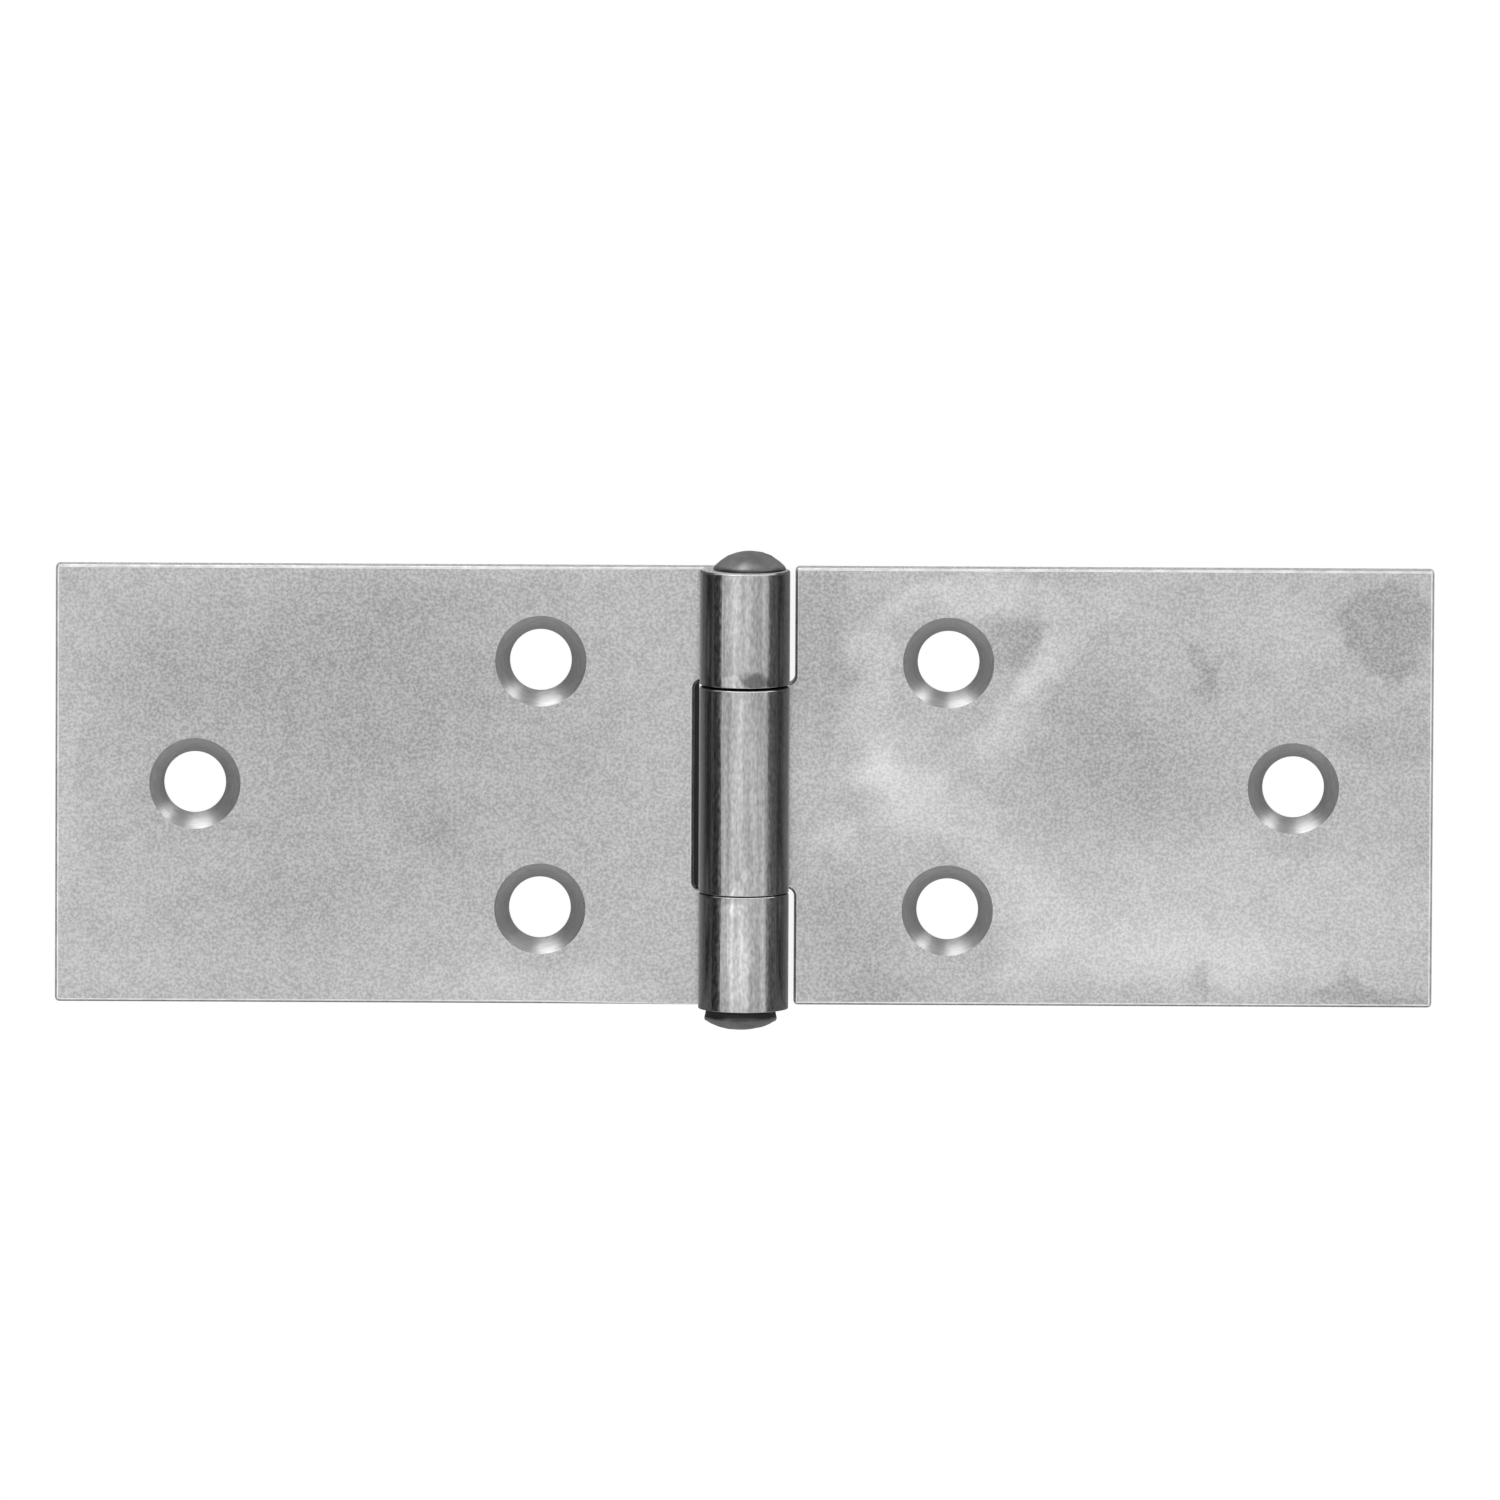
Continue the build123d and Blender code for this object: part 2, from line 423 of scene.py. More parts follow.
def roll_knuckles(side, sizes):
    """Curl the tabs round the pin axis until the strip meets its own leaf again."""
    eye_radius = sizes.knuckle_radius - sizes.sheet
    tuck = asin((eye_radius - sizes.seam_gap) / sizes.knuckle_radius)
    pick("EDGE", lambda edge: all(abs(vertex.co.x) < TINY for vertex in edge.verts))
    bpy.ops.mesh.spin(
        steps=ROLL_STEPS,
        angle=radians(270) + tuck,
        center=(0, 0, sizes.knuckle_radius),
        axis=(0, -side, 0),
    )
    bpy.ops.mesh.select_all(action="SELECT")
    bpy.ops.mesh.remove_doubles(threshold=TINY)
    bpy.ops.mesh.normals_make_consistent(inside=False)
    edited = bmesh.from_edit_mesh(bpy.context.object.data)
    blank = max(edited.faces, key=lambda face: face.calc_area())
    if blank.normal.z > 0:
        bpy.ops.mesh.flip_normals()


def lean_notch_wall(side, notch, sizes):
    """Lean the notch's cut edge below the knuckle beside it by drawing its back edge in: a wall that fills
    the slot's view and takes the slot's black painted shade.
    """
    cut_edge = notch_depth(sizes)
    lean_to = cut_edge - sizes.notch_lean

    def on_back_of_edge(vertex):
        at_edge = lean_to < side * vertex.co.x < cut_edge + TINY
        return at_edge and vertex.co.z < TINY and notch.takes(vertex.co.y)

    bpy.ops.object.mode_set(mode="EDIT")
    pick("VERT", on_back_of_edge)
    bpy.ops.transform.resize(value=(0, 1, 1), center_override=(side * lean_to, 0, 0))
    bpy.ops.object.mode_set(mode="OBJECT")


def sink_holes(leaf, holes, sizes):
    """Cut the countersunk screw holes with a cone that runs on into a drill."""
    sink_radius = sizes.countersink / 2
    sink_depth = sink_radius - HOLE_RADIUS
    overrun = sizes.sheet / 4
    for hole in holes:
        drill = new_piece(
            bpy.ops.mesh.primitive_cone_add,
            "drill",
            vertices=DRILL_SIDES,
            radius1=HOLE_RADIUS,
            radius2=sink_radius + overrun,
            depth=sink_depth + overrun,
            location=(hole[0], hole[1], sizes.sheet + (overrun - sink_depth) / 2),
        )
        pick("FACE", lambda face: face.normal.z < DRILL_FOOT)
        bpy.ops.mesh.extrude_region_move(TRANSFORM_OT_translate={"value": (0, 0, -sizes.sheet)})
        bpy.ops.object.mode_set(mode="OBJECT")
        apply_modifier(leaf, "BOOLEAN", operation="DIFFERENCE", solver="EXACT", object=drill)
        bpy.data.objects.remove(drill)
    # The flats are cut through the holes and below the knuckles, so that no face runs round a hole or into
    # a roll.
    below_knuckle = sizes.knuckle_radius * 0.9
    bpy.ops.object.mode_set(mode="EDIT")
    for hole in holes:
        cut_across(hole, (1, 0, 0))
        cut_across(hole, (0, 1, 0))
    for side in (LEFT, RIGHT):
        cut_across((side * below_knuckle, 0, 0), (1, 0, 0))
    bpy.ops.object.mode_set(mode="OBJECT")


def near_a_hole(place, holes, radius):
    """Whether a place lies within that radius of a screw hole's axis."""
    return any(hypot(place.x - hole[0], place.y - hole[1]) < radius for hole in holes)


def on_roll(place, sizes):
    """Whether a place is on a rolled eye, and not on the flat."""
    return hypot(place.x, place.z - sizes.knuckle_radius) < sizes.knuckle_radius + TINY


def round_edges(leaf, holes, sizes):
    """Break the stamped edges, less at the rims of the screw holes and the lower ends of the knuckles.

    The back edge of the leaned notch wall stays sharp.
    """
    rim_reach = sizes.countersink / 2 + sizes.edge_round
    cut_edge = notch_depth(sizes)

    def kind(edge):
        place = middle(edge)
        if place.z < TINY and sizes.knuckle_radius < abs(place.x) < cut_edge - TINY:
            return "drawn out"
        if near_a_hole(place, holes, rim_reach):
            return "rim"
        if not on_roll(place, sizes):
            return "stamped"
        faces_down = any(face.normal.y < LOWER for face in edge.link_faces)
        return "sharp" if faces_down else "knuckle"

    bpy.ops.object.mode_set(mode="EDIT")
    for wanted, rounding in (
        ("sharp", sizes.sharp_round),
        ("knuckle", sizes.knuckle_round),
        ("stamped", sizes.edge_round),
        ("rim", sizes.rim_round),
    ):
        pick("EDGE", lambda edge: edge.calc_face_angle(0) > radians(60) and kind(edge) == wanted)
        bpy.ops.mesh.bevel(offset=rounding, segments=EDGE_SEGMENTS, affect="EDGES", loop_slide=False)
    bpy.ops.object.mode_set(mode="OBJECT")


def model_leaf(name, side, notch, tone_marks, context):
    """Model one leaf: a punched blank, rolled, drilled and broken at its edges."""
    sizes = context.scene.hinge.leaf
    finish = context.scene.hinge.finish
    holes = [mount["pos_m"] for mount in SCREW_HOLES if mount["pos_m"][0] * side > 0]
    leaf = new_piece(bpy.ops.mesh.primitive_plane_add, name, size=1)
    outline_leaf(side, notch, sizes)
    roll_knuckles(side, sizes)
    bpy.ops.object.mode_set(mode="OBJECT")
    apply_modifier(leaf, "SOLIDIFY", thickness=sizes.sheet, offset=-1, use_even_offset=True)
    if notch.inside:
        lean_notch_wall(side, notch, sizes)
    sink_holes(leaf, holes, sizes)
    round_edges(leaf, holes, sizes)
    smooth_shading(leaf)

    def on_knuckle(face):
        return on_roll(middle(face), sizes)

    def on_edge(face):
        return abs(face.normal.z) < UPRIGHT and not on_knuckle(face) or abs(face.normal.y) > SQUARE

    def on_round(face):
        if on_knuckle(face):
            return ROUNDED < abs(face.normal.y) < SQUARE
        return face.normal.y > LOWER and UPRIGHT < face.normal.z < LEVEL

    def in_hole(face):
        return near_a_hole(middle(face), holes, sizes.countersink / 2) and abs(face.normal.z) < SQUARE

    # The knuckles' ends inside the joints and the leaned notch wall take the black painted shade of those
    # gaps.
    def in_joint(face):
        place = middle(face)
        if on_knuckle(face):
            return abs(face.normal.y) > SQUARE and abs(place.y) < sizes.span / 3
        in_notch = notch.inside and notch.takes(place.y)
        return in_notch and abs(place.x) < notch_depth(sizes) and abs(face.normal.z) < LEANING

    dress(
        leaf,
        [
            (strip_steel(name + "_strip", finish, tone_marks), lambda face: True),
            (rolled_steel(name + "_roll", finish, sizes), on_knuckle),
            (sheared_steel(name + "_edge", finish), on_edge),
            (burnished_glint_steel(name + "_round", finish, sizes), on_round),
            (countersunk_steel(name + "_sink", finish), in_hole),
            (shade_black_steel(name + "_joint", finish), in_joint),
        ],
    )
    return leaf


class HINGE_OT_two_knuckle_leaf(Operator):
    """Model the left leaf, which is cut away in the middle and keeps a knuckle at each end"""

    bl_idname = "hinge.two_knuckle_leaf"
    bl_label = "Two-Knuckle Leaf"

    def execute(self, context):
        sizes = context.scene.hinge.leaf
        half_knuckle = sizes.middle_knuckle / 2
        notch = Notch(-half_knuckle - sizes.lower_play, half_knuckle + sizes.upper_play, inside=True)
        leaf = model_leaf("left_leaf", LEFT, notch, LEFT_PAINTED_CLOUDS, context)
        stand_for(leaf, "two_knuckle_leaf", "fixed_leaf")
        return {"FINISHED"}


class HINGE_OT_one_knuckle_leaf(Operator):
    """Model the right leaf, which is cut away at both ends and keeps the middle knuckle"""

    bl_idname = "hinge.one_knuckle_leaf"
    bl_label = "One-Knuckle Leaf"

    def execute(self, context):
        sizes = context.scene.hinge.leaf
        half_knuckle = sizes.middle_knuckle / 2
        notch = Notch(-half_knuckle, half_knuckle, inside=False)
        leaf = model_leaf("right_leaf", RIGHT, notch, RIGHT_PAINTED_CLOUDS, context)
        stand_for(leaf, "one_knuckle_leaf", "swinging_leaf")
        return {"FINISHED"}


# Pin

NECK_SHARE = 0.8  # of the end play is filled by the upset end of the shank


def head_rings(height, sizes):
    """Radius and height of the rings up a riveted head, from its seat to just short of its crown."""
    radius = sizes.head_diameter / 2
    top = height - sizes.hammer_dents
    rise = top - sizes.head_rim
    crown_radius = (radius**2 + rise**2) / (2 * rise)
    yield radius, 0
    for step in range(HEAD_STEPS):
        turn = asin(radius / crown_radius) * (1 - step / HEAD_STEPS)
        yield crown_radius * sin(turn), top - crown_radius * (1 - cos(turn))


def pin_rings(sizes, upper_seat, lower_seat):
    """Radius, place along the pin and shift of its rings, from the lower crown to the upper one."""
    upper = [(r, upper_seat + h, sizes.upper_shift) for r, h in head_rings(sizes.upper_height, sizes)]
    lower = [(r, lower_seat - h, sizes.lower_shift) for r, h in head_rings(sizes.lower_height, sizes)]
    neck_top = lower_seat + sizes.end_play * NECK_SHARE
    neck = [(sizes.neck_diameter / 2, neck_top, sizes.lower_shift)]
    shank = [(sizes.diameter / 2, neck_top, 0), (sizes.diameter / 2, upper_seat, 0)]
    return lower[::-1] + neck + shank + upper


def chain_rings(rings):
    """Draw the first ring out through all the others and close both ends."""
    first_radius, first_along, first_shift = rings[0]
    pin = new_piece(
        bpy.ops.mesh.primitive_circle_add,
        "pin",
        vertices=PIN_SIDES,
        radius=first_radius,
        location=(first_shift, first_along, PIN_AXIS_HEIGHT),
        rotation=(pi / 2, 0, 0),
    )
    bpy.ops.object.mode_set(mode="OBJECT")
    bpy.ops.object.transform_apply()
    bpy.ops.object.mode_set(mode="EDIT")
    bpy.ops.mesh.edge_face_add()
    pick("EDGE", lambda edge: True)
    for (radius, along, shift), (new_radius, new_along, new_shift) in zip(rings, rings[1:]):
        bpy.ops.mesh.extrude_edges_move()
        widening = new_radius / radius
        centre = (shift, along, PIN_AXIS_HEIGHT)
        bpy.ops.transform.resize(value=(widening, 1, widening), center_override=centre)
        bpy.ops.transform.translate(value=(new_shift - shift, new_along - along, 0))
    bpy.ops.mesh.edge_face_add()
    bpy.ops.mesh.select_all(action="SELECT")
    bpy.ops.mesh.normals_make_consistent(inside=False)
    return pin


def hammer_heads(sizes, upper_seat):
    """Round the heads' rims and dent their crowns, but not the tips, where the rings lie close."""
    crown_start = upper_seat + sizes.end_play + sizes.head_rim
    tip_radius = sizes.head_diameter / 5

    def on_rim(edge):
        return edge.calc_face_angle(0) > radians(30) and abs(middle(edge).y) > upper_seat + TINY

    def on_dented_crown(vertex):
        away = hypot(vertex.co.x, vertex.co.z - PIN_AXIS_HEIGHT)
        return abs(vertex.co.y) > crown_start and away > tip_radius

    pick("EDGE", on_rim)
    bpy.ops.mesh.bevel(offset=sizes.head_rim / 2, segments=RIM_SEGMENTS, affect="EDGES")
    pick("VERT", on_dented_crown)
    bpy.ops.transform.vertex_random(offset=sizes.hammer_dents, uniform=0, normal=1, seed=4)
    bpy.ops.mesh.vertices_smooth(repeat=2)
    bpy.ops.object.mode_set(mode="OBJECT")


def lean_lower_head(sizes, lower_seat):
    """Turn the lower head askew on the end of the shank."""
    bpy.ops.object.mode_set(mode="EDIT")
    pick("VERT", lambda vertex: vertex.co.y < lower_seat + TINY)
    bpy.ops.transform.rotate(
        value=sizes.lower_lean,
        orient_axis="X",
        center_override=(sizes.lower_shift, lower_seat, PIN_AXIS_HEIGHT),
    )
    bpy.ops.object.mode_set(mode="OBJECT")


class HINGE_OT_pin(Operator):
    """Model the pin as a chain of rings, from one hammered head through the knuckles to the other"""

    bl_idname = "hinge.pin"
    bl_label = "Riveted Pin"

    def execute(self, context):
        sizes = context.scene.hinge.pin
        finish = context.scene.hinge.finish
        upper_seat = context.scene.hinge.leaf.span / 2
        lower_seat = -upper_seat - sizes.end_play
        lower_foot = -lower_seat - sizes.head_diameter / 2 * sin(sizes.lower_lean)

        def on_upper_head(face):
            return middle(face).y > upper_seat

        def on_lower_head(face):
            return middle(face).y < lower_seat

        pin = chain_rings(pin_rings(sizes, upper_seat, lower_seat))
        hammer_heads(sizes, upper_seat)
        dress(
            pin,
            [
                # The shank and its neck, seen only in the gap above the lower head, are painted black as the
                # shade there.
                (shade_black_steel("pin_shank", finish), lambda face: True),
                (riveted_steel("upper_head", finish.upper_rivet, upper_seat), on_upper_head),
                (riveted_steel("lower_head", finish.lower_rivet_shaded, lower_foot), on_lower_head),
            ],
        )
        lean_lower_head(sizes, lower_seat)
        smooth_shading(pin)
        stand_for(pin, "hinge_pin", "fixed_leaf")
        return {"FINISHED"}


# Finishes


def new_material(name):
    """An empty node material."""
    material = bpy.data.materials.new(name)
    material.use_nodes = True
    material.node_tree.nodes.clear()
    return material


def put(tree, kind, inputs=None, **settings):
    """Add a shader node. An input may be a plain value or another node's output."""
    node = tree.nodes.new("ShaderNode" + kind)
    for name, value in settings.items():
        setattr(node, name, value)
    for name, value in (inputs or {}).items():
        if isinstance(value, NodeSocket):
            tree.links.new(value, node.inputs[name])
        else:
            node.inputs[name].default_value = value
    return node


def millimetres(tree, stretch=(1, 1, 1)):
    """Place on the piece in millimetres, with each axis divided by its stretch."""
    place = put(tree, "TexCoord").outputs["Object"]
    scale = [MILLIMETRES / s for s in stretch]
    return put(tree, "Mapping", {"Vector": place, "Scale": scale}).outputs["Vector"]


def part_of(tree, place, axis):
    """How far a place lies along one axis."""
    return put(tree, "SeparateXYZ", {0: place}).outputs[axis]


def noise(tree, place, waves, detail=3.0):
    """Smooth noise between none and all, in so many waves a millimetre."""
    return put(tree, "TexNoise", {"Vector": place, "Scale": waves, "Detail": detail}).outputs["Fac"]


def spread(tree, value, low, high, to_low, to_high):
    """Map a value from one range to another, held at the ends."""
    inputs = {"Value": value, "From Min": low, "From Max": high, "To Min": to_low, "To Max": to_high}
    return put(tree, "MapRange", inputs, interpolation_type="SMOOTHSTEP").outputs["Result"]


def varied(tree, pattern, to_low, to_high):
    """Map a noise pattern to the range between two values."""
    return spread(tree, pattern, NOISE_LOW, NOISE_HIGH, to_low, to_high)


def combine(tree, operation, first, second=0.0):
    """Add, multiply or otherwise join two values."""
    return put(tree, "Math", {0: first, 1: second}, operation=operation).outputs[0]


def toned(tree, colour, tone):
    """A bare colour made lighter or darker by a tone around one."""
    base = put(tree, "RGB")
    base.outputs[0].default_value = (*colour, 1)
    return put(tree, "VectorMath", {0: base.outputs[0], 1: tone}, operation="MULTIPLY").outputs[0]


def steel(material, colour, roughness, relief, depth, strength, metallic=1.0):
    """Finish a material as steel, bare or covered, with a pattern as relief of that depth in metres."""
    tree = material.node_tree
    bump = put(tree, "Bump", {"Height": relief, "Distance": depth, "Strength": strength})
    inputs = {
        "Base Color": colour,
        "Metallic": metallic,
        "Roughness": roughness,
        "Normal": bump.outputs["Normal"],
    }
    surface = put(tree, "BsdfPrincipled", inputs)
    put(tree, "OutputMaterial", {"Surface": surface.outputs["BSDF"]})
    return material


def wandering(tree, place, waves, reach):
    """A place moved about by noise, so that outlines drawn on it wander by a share of that reach."""
    wander = put(tree, "TexNoise", {"Vector": place, "Scale": waves, "Detail": 4.0}).outputs["Color"]
    shift = put(tree, "VectorMath", {0: wander, 1: (0.5, 0.5, 0.5)}, operation="SUBTRACT").outputs[0]
    scaled = put(tree, "VectorMath", {0: shift, 3: reach}, operation="SCALE").outputs[0]
    return put(tree, "VectorMath", {0: place, 1: scaled}, operation="ADD").outputs[0]


def with_tone_marks(tree, tone, place, tone_marks):
    """A tone with the patches added, each full in its core and gone at its rim; most of them are painted
    light and shade.
    """
    for tone_mark in tone_marks:
        inputs = {
            "Vector": place,
            "Location": (*tone_mark.centre, 0),
            "Rotation": (0, 0, radians(tone_mark.turn)),
            "Scale": (*tone_mark.reach, FAR),
        }
        local = put(tree, "Mapping", inputs, vector_type="TEXTURE").outputs["Vector"]
        away = put(tree, "VectorMath", {0: local}, operation="LENGTH").outputs["Value"]
        tone = combine(tree, "ADD", tone, spread(tree, away, tone_mark.core, 1.0, tone_mark.tone, 0.0))
    return tone


def top_over_flank_shade(tree, height, radius, below):
    """One along the top of a knuckle of that radius, and below it another tone, a painted shade down its
    flanks.
    """
    return spread(tree, height, radius * 1.66, radius * 1.78, below, 1.0)


def strip_steel(name, finish, tone_marks):
    """Satin cold-rolled strip with a fine grain, random mottling and painted clouds of light and shade where
    the slightly wavy sheet would reflect more or less light.
    """
    material = new_material(name)
    tree = material.node_tree
    place = millimetres(tree)
    grain = noise(tree, place, waves=4.5, detail=1.5)
    clouds = noise(tree, place, waves=0.12)
    mottle = noise(tree, place, waves=0.45)
    tone = spread(tree, grain, GRAIN_LOW, GRAIN_HIGH, 1 - finish.speckle, 1 + finish.speckle)
    tone = combine(tree, "ADD", tone, varied(tree, clouds, -0.03, 0.03))
    tone = combine(tree, "ADD", tone, varied(tree, mottle, -0.035, 0.035))
    # Painted light and shade: the clouds that a slightly wavy sheet would reflect, with wandering outlines.
    tone = with_tone_marks(tree, tone, wandering(tree, place, waves=0.25, reach=6.0), tone_marks)
    roughness = varied(tree, clouds, finish.strip_roughness - 0.03, finish.strip_roughness + 0.03)
    return steel(material, toned(tree, finish.strip, tone), roughness, grain, depth=0.00001, strength=0.2)


def rolled_steel(name, finish, sizes):
    """Outside of a rolled eye, with lines along the pin: painted shade darkens it down its sides and leaves
    its top and its foot at full tone.
    """
    material = new_material(name)
    tree = material.node_tree
    place = millimetres(tree)
    lines = noise(tree, millimetres(tree, stretch=(1, 40, 1)), waves=2.0, detail=4.0)
    grain = noise(tree, millimetres(tree, stretch=(1, 2.5, 1)), waves=5.0, detail=2.0)
    height = part_of(tree, place, "Z")
    radius = sizes.knuckle_radius * MILLIMETRES
    # Painted shade: the knuckle is darkened down its flanks, between its top and its foot.
    top = top_over_flank_shade(tree, height, radius, finish.flank_shade)
    foot = spread(tree, height, radius * 0.1, radius * 0.4, 1.0, finish.flank_shade)
    painted_flank_shade = combine(tree, "MAXIMUM", top, foot)
    grain_tone = spread(tree, grain, GRAIN_LOW, GRAIN_HIGH, 0.78, 1.22)
    # Scuffs, specks, painted highlights and the painted light and shade of a dent, with wandering outlines.
    scuffs_and_sheen = with_tone_marks(tree, 1.0, wandering(tree, place, waves=1.2, reach=1.2), ROLL_SCUFFS_AND_SHEEN)
    tone = varied(tree, lines, 0.8, 1.18)
    for pattern in (grain_tone, painted_flank_shade, scuffs_and_sheen):
        tone = combine(tree, "MULTIPLY", tone, pattern)
    roughness = varied(tree, grain, finish.roll_roughness - 0.03, finish.roll_roughness + 0.05)
    return steel(material, toned(tree, finish.roll, tone), roughness, lines, depth=0.00004, strength=0.5)


def burnished_glint_steel(name, finish, sizes):
    """Rounded edge of the strip, light as burnished steel and as a painted glint on the flats and along the
    tops of the knuckles, with painted shade down the knuckles' flanks.
    """
    material = new_material(name)
    tree = material.node_tree
    place = millimetres(tree)
    wear = noise(tree, place, waves=0.8)
    height = part_of(tree, place, "Z")
    radius = sizes.knuckle_radius * MILLIMETRES
    # Painted shade darkens the rounds down the knuckles' flanks; the flats and the knuckles' tops keep their
    # painted glint.
    top = top_over_flank_shade(tree, height, radius, finish.flank_shade / 2)
    flat = spread(tree, height, radius * 0.42, radius * 0.46, 1.0, 0.0)
    tone = combine(tree, "MULTIPLY", combine(tree, "MAXIMUM", top, flat), varied(tree, wear, 0.85, 1.1))
    return steel(material, toned(tree, finish.burnish_and_glint, tone), 0.4, wear, depth=0.00001, strength=0.2)


def sheared_steel(name, finish):
    """Cut edge of the strip, torn in lines across its thickness, light partly as a painted reflection of the
    white floor.
    """
    material = new_material(name)
    tree = material.node_tree
    tears = noise(tree, millimetres(tree, stretch=(1, 1, 6)), waves=4.0)
    tone = varied(tree, tears, 0.85, 1.15)
    return steel(material, toned(tree, finish.sheared, tone), 0.7, tears, depth=0.00003, strength=0.5)


def countersunk_steel(name, finish):
    """Cone of a screw hole, turned with some chatter, with painted shade darkening it towards its foot and
    painted light brightening it towards its rim.
    """
    material = new_material(name)
    tree = material.node_tree
    place = millimetres(tree)
    chatter = noise(tree, millimetres(tree, stretch=(1, 1, 0.1)), waves=1.2)
    # Painted light and shade: the cone's tone runs from darker at its foot to lighter at its rim, evening out
    # its reflections.
    foot = spread(tree, part_of(tree, place, "Z"), 0.3, 1.5, 0.8, 1.2)
    tone = combine(tree, "MULTIPLY", varied(tree, chatter, 0.9, 1.1), foot)
    return steel(material, toned(tree, finish.sink, tone), 0.35, chatter, depth=0.00003, strength=0.25)


def shade_black_steel(name, finish):
    """Steel in the joints, painted near black as the shade that falls in the gaps between the knuckles, in
    the slot beside the middle knuckle and about the pin's neck.
    """
    material = new_material(name)
    tree = material.node_tree
    smears = noise(tree, millimetres(tree), waves=1.1)
    colour = toned(tree, finish.joint_shade, varied(tree, smears, 0.85, 1.15))
    return steel(material, colour, 0.6, smears, depth=0.00002, strength=0.3, metallic=0.0)


def riveted_steel(name, colour, foot):
    """Dull hammered steel of a pin's head, darkened by painted shade at its foot next to the knuckle, that
    far along the pin from its middle.
    """
    material = new_material(name)
    tree = material.node_tree
    place = millimetres(tree)
    dents = noise(tree, place, waves=1.1)
    along = combine(tree, "ABSOLUTE", part_of(tree, place, "Y"))
    shade_start = foot * MILLIMETRES
    # Painted shade: the head goes darker towards its seat next to the knuckle.
    seat_shade = spread(tree, along, shade_start, shade_start + 0.5, 0.12, 1.0)
    tone = combine(tree, "MULTIPLY", seat_shade, varied(tree, dents, 0.85, 1.15))
    return steel(material, toned(tree, colour, tone), 0.4, dents, depth=0.00008, strength=0.6)


# Stage

FLOOR_SIZE = 8
FLOOR_DROP = 0.00002  # below the backs of the leaves
CARD_DISTANCE = 0.5
SENSOR_WIDTH = 36
# Name, first and last bearing and rise in degrees, and white of each dark card
DARK_CARDS = (
    ("right_card", 315, 45, 28, 0.26),
    ("back_card", 45, 135, 12, 0.05),
    ("left_card", 135, 225, 28, 0.05),
    ("front_card", 225, 315, 12, 0.05),
)
# Name, bearing and elevation in degrees, distance, width and height, and radiance of each lamp
SOFT_LAMPS = (
    ("overhead_lamp", 180, 78, 0.9, (0.55, 0.8), 0.25),
    ("far_left_lamp", 105, 9, 0.45, (0.27, 0.11), 2.9),
    ("far_right_lamp", 47, 9, 0.45, (0.12, 0.11), 3.3),
)


def white_floor(stage):
    """Pale floor that shows white and keeps a faint shadow."""
    material = new_material("floor_white")
    tree = material.node_tree
    rays = put(tree, "LightPath").outputs
    mirrored = combine(tree, "MULTIPLY", rays["Is Glossy Ray"], stage.floor_mirrored)
    seen = combine(tree, "ADD", rays["Is Camera Ray"], mirrored)
    seen = combine(tree, "ADD", seen, rays["Is Transmission Ray"])
    strength = combine(tree, "MULTIPLY", seen, stage.floor_white)
    glow = put(tree, "Emission", {"Color": (1, 1, 1, 1), "Strength": strength}).outputs[0]
    matt = put(tree, "BsdfDiffuse", {"Color": (*[stage.floor_shade] * 3, 1)}).outputs[0]
    both = put(tree, "AddShader", {0: glow, 1: matt}).outputs[0]
    put(tree, "OutputMaterial", {"Surface": both})
    return material


def matt_grey(name, white):
    """Plain matt grey of a card."""
    material = new_material(name)
    tree = material.node_tree
    matt = put(tree, "BsdfDiffuse", {"Color": (white, white, white, 1)}).outputs[0]
    put(tree, "OutputMaterial", {"Surface": matt})
    return material


def bearing(place):
    """Direction of a place round the pin's middle, in degrees from +X towards +Y."""
    return degrees(Vector((1, 0)).angle_signed(Vector((place.x, place.y)))) * -1 % 360


def within(value, first, last):
    """Whether a bearing lies between two others, going round anticlockwise."""
    return (value - first) % 360 < (last - first) % 360


def dark_card(name, first, last, rise, white):
    """A dark card standing on the floor round the hinge, between two bearings, as high as an elevation."""
    height = CARD_DISTANCE * tan(radians(rise))
    card = new_piece(
        bpy.ops.mesh.primitive_cylinder_add,
        name,
        vertices=CARD_SIDES,
        radius=CARD_DISTANCE,
        depth=height,
        end_fill_type="NOTHING",
        location=(0, 0, height / 2),
    )
    pick("FACE", lambda face: not within(bearing(middle(face)), first, last))
    bpy.ops.mesh.delete(type="FACE")
    bpy.ops.object.mode_set(mode="OBJECT")
    bpy.ops.object.transform_apply()
    card.visible_camera = False
    card.visible_shadow = False
    card.data.materials.append(matt_grey(name + "_grey", white))
    return card


def white_surround(stage):
    """World of plain white light."""
    world = bpy.data.worlds.new("soft_surround")
    world.use_nodes = True
    background = world.node_tree.nodes["Background"]
    background.inputs["Color"].default_value = (1, 1, 1, 1)
    background.inputs["Strength"].default_value = stage.surround
    return world


def soft_lamp(name, bearing_deg, elevation_deg, distance, size, radiance):
    """Add a soft rectangular lamp that shines on the hinge from a bearing and an elevation."""
    around = radians(bearing_deg)
    up = radians(elevation_deg)
    towards = Vector((cos(around) * cos(up), sin(around) * cos(up), sin(up)))
    width, height = size
    bpy.ops.object.light_add(type="AREA", location=towards * distance)
    lamp = bpy.context.object
    lamp.name = name
    lamp.rotation_euler = towards.to_track_quat("Z", "Y").to_euler()
    lamp.data.shape = "RECTANGLE"
    lamp.data.size = width
    lamp.data.size_y = height
    lamp.data.energy = radiance * pi * width * height
    lamp.visible_camera = False


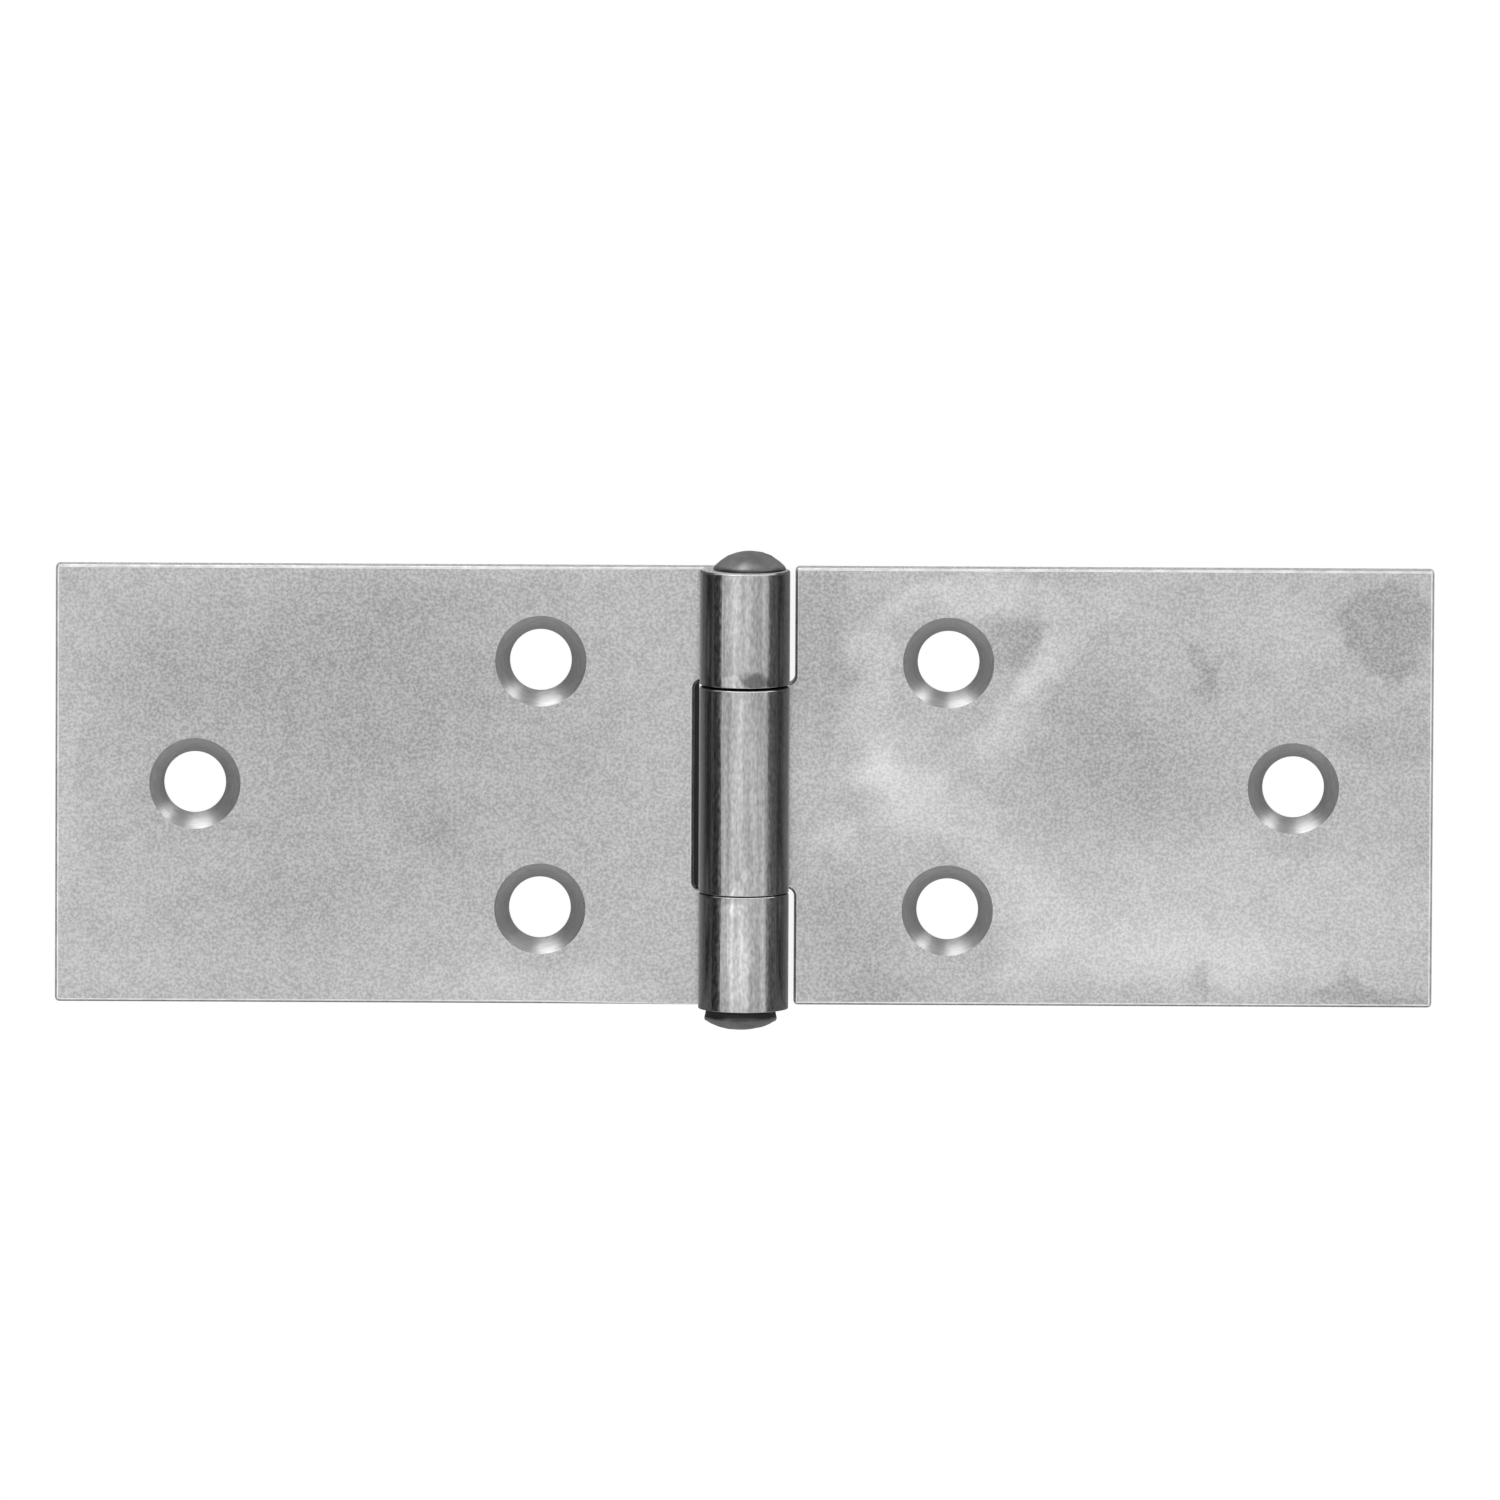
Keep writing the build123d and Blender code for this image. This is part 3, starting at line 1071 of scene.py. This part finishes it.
def aimed_camera(stage):
    """Camera above the hinge, leaning towards the upper end of the pin."""
    turn = Euler((-stage.tilt, 0, stage.roll))
    away = turn.to_matrix() @ Vector((0, 0, stage.distance))
    bpy.ops.object.camera_add(location=Vector(stage.aim) + away, rotation=turn)
    camera = bpy.context.object
    camera.data.sensor_width = SENSOR_WIDTH
    camera.data.lens = SENSOR_WIDTH * stage.distance / stage.frame_width
    return camera


class HINGE_OT_stage(Operator):
    """Set up the floor, the soft light, the dark cards and the camera"""

    bl_idname = "hinge.stage"
    bl_label = "Stage"

    def execute(self, context):
        stage = context.scene.hinge.stage
        floor_place = (0, 0, -FLOOR_DROP)
        floor = new_piece(bpy.ops.mesh.primitive_plane_add, "floor", size=FLOOR_SIZE, location=floor_place)
        bpy.ops.object.mode_set(mode="OBJECT")
        bpy.ops.object.transform_apply()
        floor.data.materials.append(white_floor(stage))
        for settings in DARK_CARDS:
            card = dark_card(*settings)
        context.scene.world = white_surround(stage)
        for settings in SOFT_LAMPS:
            soft_lamp(*settings)
        context.scene.camera = aimed_camera(stage)
        context.scene.view_settings.view_transform = "Standard"
        return {"FINISHED"}


class HINGE_PT_sidebar(Panel):
    """Lists the hinge's sizes, finishes and stage"""

    bl_label = "Broad Butt Hinge"
    bl_idname = "HINGE_PT_sidebar"
    bl_space_type = "VIEW_3D"
    bl_region_type = "UI"
    bl_category = "Hinge"

    def draw(self, context):
        hinge = context.scene.hinge
        for group in (hinge.leaf, hinge.pin, hinge.finish, hinge.stage):
            box = self.layout.box()
            for name in group.__annotations__:
                box.prop(group, name)
        for operator in OPERATORS:
            self.layout.operator(operator.bl_idname)


SETTINGS = (LeafSettings, PinSettings, FinishSettings, StageSettings, HingeSettings)
OPERATORS = (HINGE_OT_stage, HINGE_OT_two_knuckle_leaf, HINGE_OT_one_knuckle_leaf, HINGE_OT_pin)
CLASSES = (*SETTINGS, *OPERATORS, HINGE_PT_sidebar)


def register():
    for cls in CLASSES:
        bpy.utils.register_class(cls)
    bpy.types.Scene.hinge = PointerProperty(type=HingeSettings)


def unregister():
    del bpy.types.Scene.hinge
    for cls in reversed(CLASSES):
        bpy.utils.unregister_class(cls)


def main():
    register()
    bpy.ops.hinge.stage()
    bpy.ops.hinge.two_knuckle_leaf()
    bpy.ops.hinge.one_knuckle_leaf()
    bpy.ops.hinge.pin()


if __name__ == "__main__":
    main()
